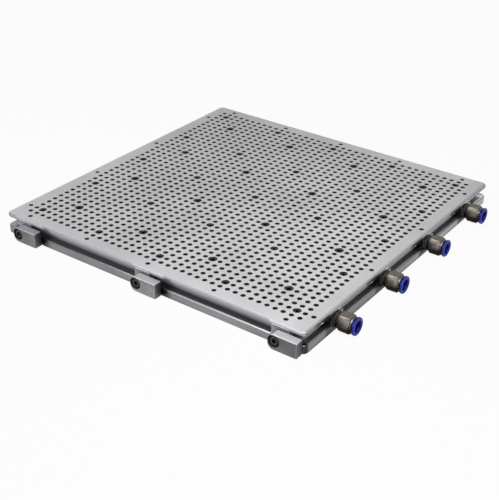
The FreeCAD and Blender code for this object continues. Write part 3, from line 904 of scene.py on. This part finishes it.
blackFinish = {
    "grainNoise": (1500.0, 2.0, 0.5),
    "grainBump": (0.00003, 0.3),
    "cloudNoise": (260.0, 3.0, 0.5),
    "metallic": 0.9,
    "roughness": 0.40,
    "rubbed": (tone(0.038, 0.036, 0.034), tone(0.066, 0.060, 0.054)),
    "rubbedSpread": (0.4, 0.62),
    # painted shade in the sockets
    "socket": tone(0.010, 0.009, 0.008),
    "socketSpread": (0.8, 1.1),
    "pivotSocketShare": 1.15,                          # the pivot screws' sockets look wider in the photo
}


def blackenedSteel():
    # screws and plugs: black oxide, brown where it is rubbed, with painted shade in the sockets
    look = blackFinish
    paint = Paint("blackenedSteel")
    spot = paint.place()
    x, y, z = paint.axes(spot)
    grain = paint.noise(spot, *look["grainNoise"])
    cloud = paint.noise(spot, *look["cloudNoise"])
    colour = paint.blend(paint.step(cloud, *look["rubbedSpread"]), *look["rubbed"])
    apart = suctionPlate["screwSpacing"]
    portsApart = suctionPlate["portSpacing"]
    sockets = [
        # across, along and width
        (paint.fromNearest(x, 0.0, apart), paint.fromNearest(y, 0.0, apart), plateScrew["socketWidth"]),
        (paint.fromNearest(x, portsApart / 2, portsApart), paint.fromNearest(y, portsApart / 2, portsApart),
         portPlug["socketWidth"]),
        (paint.fromNearest(x, 0.0, stopBar["spacing"]), z - centreOf("pivot_screws").z,
         pivotScrew["socketWidth"] * look["pivotSocketShare"]),
    ]
    # painted shade in each socket
    for across, along, width in sockets:
        reach = width / math.sqrt(3)
        edge = [reach ** 2 * share for share in look["socketSpread"]]
        inside = paint.until(across * across + along * along, *edge)
        colour = paint.blend(inside, colour, look["socket"])
    return paint.surface(Base_Color=colour, Metallic=look["metallic"], Roughness=look["roughness"] + cloud * 0.14,
                         Normal=paint.bump(grain, *look["grainBump"]))


nickelFinish = {
    "turningStretch": (2200.0, 30.0, 30.0),
    "turningNoise": (1.0, 2.0, 0.5),
    "turningBump": (0.00002, 0.2),
    "cloudNoise": (150.0, 3.0, 0.5),
    "metallic": 0.95,
    "roughness": 0.27,
    "tint": tone(0.5, 0.47, 0.42),
    "grain": (tone(0.065, 0.060, 0.052), tone(0.115, 0.107, 0.096)),
    "grainSpread": (0.38, 0.64),
    "backward": tone(0.022, 0.020, 0.018),             # painted shade: the fittings darken toward the back
    "backwardAt": (-0.16, 0.16),
    "backwardStrength": 0.5,
    # painted light on the upper side
    "upper": tone(0.17, 0.152, 0.128),
    "upperAt": (0.0050, 0.0070),                       # heights from the axis
    "upperStrength": 0.5,
    # painted shade on the side that faces down
    "lower": tone(0.012, 0.010, 0.008),
    "lowerAt": (-0.0008, -0.0002),
    "lowerStrength": 0.9,
}


def nickelPlate():
    # fittings: nickel over turned brass, with painted light, brown, on the upper side and painted shade on the side
    # that faces down and toward the back
    look = nickelFinish
    paint = Paint("nickelPlate")
    spot = paint.place()
    y, z = paint.axes(spot)[1:]
    above = z - centreOf("fitting_body_1").z
    turning = paint.noise(paint.stretched(spot, look["turningStretch"]), *look["turningNoise"])
    cloud = paint.noise(spot, *look["cloudNoise"])
    colour = paint.blend(paint.step(cloud, *look["grainSpread"]), *look["grain"])
    # painted light on the upper side, painted shade toward the back and underneath
    upper = paint.step(above, *look["upperAt"])
    backward = paint.step(y, *look["backwardAt"]) * (1 - upper) * look["backwardStrength"]
    colour = paint.blend(backward, colour, look["backward"])
    colour = paint.blend(upper * look["upperStrength"], colour, look["upper"])
    colour = paint.blend(paint.until(above, *look["lowerAt"]) * look["lowerStrength"], colour, look["lower"])
    return paint.surface(Base_Color=colour, Metallic=look["metallic"], Specular_Tint=look["tint"],
                         Roughness=look["roughness"] + cloud * 0.12 + turning * 0.06,
                         Normal=paint.bump(turning, *look["turningBump"]))


blueFinish = {
    "cloudNoise": (220.0, 2.0, 0.5),
    "grainNoise": (2400.0, 2.0, 0.5),
    "grainBump": (0.00002, 0.2),
    "specular": 0.18,
    "roughness": 0.34,
    "moulded": (tone(0.011, 0.026, 0.36), tone(0.018, 0.038, 0.46)),
    "mouldedSpread": (0.35, 0.65),
    # painted shade down the bore
    "bore": tone(0.004, 0.006, 0.11),
    "boreDepth": (0.0004, 0.0018),
    "boreStrength": 0.85,
}


def bluePlastic():
    # release collars: glossy moulded blue, with painted shade down the bore
    look = blueFinish
    paint = Paint("bluePlastic")
    spot = paint.place()
    x = paint.axes(spot)[0]
    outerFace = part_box("release_collar_1")[1].x
    cloud = paint.noise(spot, *look["cloudNoise"])
    grain = paint.noise(spot, *look["grainNoise"])
    colour = paint.blend(paint.step(cloud, *look["mouldedSpread"]), *look["moulded"])
    # painted shade down the bore
    deep = paint.step(outerFace - x, *look["boreDepth"])
    colour = paint.blend(deep * look["boreStrength"], colour, look["bore"])
    return paint.surface(Base_Color=colour, Specular_IOR_Level=look["specular"],
                         Roughness=look["roughness"] + cloud * 0.12, Normal=paint.bump(grain, *look["grainBump"]))


rubberFinish = {
    "grainNoise": (1800.0, 2.0, 0.5),
    "grainBump": (0.00003, 0.3),
    "roughness": 0.55,
    "grain": (tone(0.012, 0.012, 0.013), tone(0.03, 0.03, 0.03)),
}


def blackRubber():
    # seals and washers
    look = rubberFinish
    paint = Paint("blackRubber")
    grain = paint.noise(paint.place(), *look["grainNoise"])
    return paint.surface(Base_Color=paint.blend(grain, *look["grain"]), Roughness=look["roughness"] + grain * 0.2,
                         Normal=paint.bump(grain, *look["grainBump"]))


brassFinish = {
    "ringStretch": (900.0, 60.0, 60.0),
    "ringNoise": (1.0, 2.0, 0.5),
    "ringBump": (0.00002, 0.2),
    "roughness": 0.26,
    "rings": (tone(0.52, 0.38, 0.17), tone(0.66, 0.50, 0.26)),
}


def turnedBrass():
    # guide sleeves, with fine rings from turning
    look = brassFinish
    paint = Paint("turnedBrass")
    rings = paint.noise(paint.stretched(paint.place(), look["ringStretch"]), *look["ringNoise"])
    return paint.surface(Base_Color=paint.blend(rings, *look["rings"]), Metallic=1.0,
                         Roughness=look["roughness"] + rings * 0.12, Normal=paint.bump(rings, *look["ringBump"]))


springFinish = {
    "grainNoise": (1200.0, 2.0, 0.5),
    "grainBump": (0.00002, 0.2),
    "roughness": 0.24,
    "grain": (tone(0.30, 0.30, 0.31), tone(0.42, 0.42, 0.43)),
    # painted shade where the pieces sit inside the stop bars
    "inBarShade": tone(0.018, 0.018, 0.019),
    "inBarShadeAt": (-0.2127, -0.2123),                     # the backs of the stop bars
}


def springSteel():
    # bushes, disc springs and grab rings, with painted shade where they sit inside the stop bars
    look = springFinish
    paint = Paint("springSteel")
    spot = paint.place()
    y = paint.axes(spot)[1]
    grain = paint.noise(spot, *look["grainNoise"])
    colour = paint.blend(grain, *look["grain"])
    # painted shade inside the stop bars
    colour = paint.blend(paint.until(y, *look["inBarShadeAt"]), colour, look["inBarShade"])
    return paint.surface(Base_Color=colour, Metallic=1.0, Roughness=look["roughness"] + grain * 0.12,
                         Normal=paint.bump(grain, *look["grainBump"]))


finishes = {
    "ground_aluminium": groundAluminium(),
    "milled_aluminium": milledAluminium(),
    "bar_aluminium": satinAluminium(),
    "black_steel": blackenedSteel(),
    "nickel_brass": nickelPlate(),
    "blue_plastic": bluePlastic(),
    "nitrile": blackRubber(),
    "dark_washer": blackRubber(),
    "sleeve_brass": turnedBrass(),
    "spring_steel": springSteel(),
}
slotOf = {part["node"]: part["material_slot"] for part in frame["record"]["subparts"]}
bodyOf = {node: body for body, group in frame["record"]["behaviour"]["bodies"].items() for node in group}
print("finishes made:", len(finishes))


# The piece for each CAD node

makeSuctionPlate()
print("suction plate made")
makeScrews()
print("screws and plugs made")
remade = {"top_plate", "plate_screws", "port_plugs", "pivot_screws"}
for node in sorted(frame["nodes"]):
    if node not in remade:
        smoothCopy(node)
print("smooth copies made")


# Studio

studio = {
    "cameraPlace": (0.63885, -0.91332, 0.58893),
    "cameraTurn": (60.230, -0.895, 35.792),    # degrees about X, Y and Z
    "lens": 73.67,
    "sensor": 36.0,
    "background": 1.0,
    "daylight": 0.12,
    "floorHalf": 3.0,
    "floorTone": 0.55,
    "floorGlow": 0.95,
    "lamps": [
        # place, the point it faces, size, watts
        ((0.35, -0.35, 0.75), (0.35, -0.35, 0.0), 0.5, 5.6),
        ((-1.1, -1.6, 1.0), (0.0, 0.0, 0.0), 0.9, 22.0),
        ((-0.4, 1.8, 1.1), (0.0, 0.0, 0.0), 1.0, 1.5),
    ],
}


def seenRays(paint):
    # 1 for the rays that show the background: straight from the camera, off gloss or through glass
    rays = paint.node("ShaderNodeLightPath").out.node.outputs
    seen = paint.larger(Wire(paint, rays["Is Camera Ray"]), Wire(paint, rays["Is Glossy Ray"]))
    return paint.larger(seen, Wire(paint, rays["Is Transmission Ray"]))


def makeFloor():
    bm = bmesh.new()
    bmesh.ops.create_grid(bm, x_segments=1, y_segments=1, size=studio["floorHalf"])
    floor = bpy.data.objects.new("floor", meshOf(bm, "floor"))
    bpy.context.scene.collection.objects.link(floor)
    paint = Paint("paleFloor")
    level = studio["floorTone"]
    matt = paint.node("ShaderNodeBsdfDiffuse", None, {"Color": tone(level, level, level)})
    glow = paint.node("ShaderNodeEmission", None, {"Color": tone(1.0, 1.0, 1.0), "Strength": 1.0})
    mixed = paint.node("ShaderNodeMixShader", None, {0: seenRays(paint) * studio["floorGlow"], 1: matt, 2: glow})
    paint.node("ShaderNodeOutputMaterial", None, {"Surface": mixed})
    floor.data.materials.append(paint.material)


def makeWorld():
    world = bpy.data.worlds.new("studio")
    bpy.context.scene.world = world
    paint = Paint("studio", world)
    level = seenRays(paint) * (studio["background"] - studio["daylight"]) + studio["daylight"]
    sky = paint.node("ShaderNodeBackground", None, {"Color": tone(1.0, 1.0, 1.0), "Strength": level})
    paint.node("ShaderNodeOutputWorld", None, {"Surface": sky})


def makeLamps():
    for number, (place, aim, size, watts) in enumerate(studio["lamps"], start=1):
        data = bpy.data.lights.new("softbox%d" % number, "AREA")
        data.shape = "SQUARE"
        data.size = size
        data.energy = watts
        lamp = bpy.data.objects.new(data.name, data)
        bpy.context.scene.collection.objects.link(lamp)
        lamp.location = place
        lamp.rotation_euler = (Vector(aim) - Vector(place)).to_track_quat("-Z", "Y").to_euler()


def makeCamera():
    data = bpy.data.cameras.new("photoCamera")
    data.sensor_width = studio["sensor"]
    data.lens = studio["lens"]
    camera = bpy.data.objects.new("photoCamera", data)
    bpy.context.scene.collection.objects.link(camera)
    camera.location = studio["cameraPlace"]
    camera.rotation_euler = [math.radians(angle) for angle in studio["cameraTurn"]]
    bpy.context.scene.camera = camera


makeFloor()
makeWorld()
makeLamps()
makeCamera()
bpy.context.scene.view_settings.view_transform = "Standard"
print("studio made")
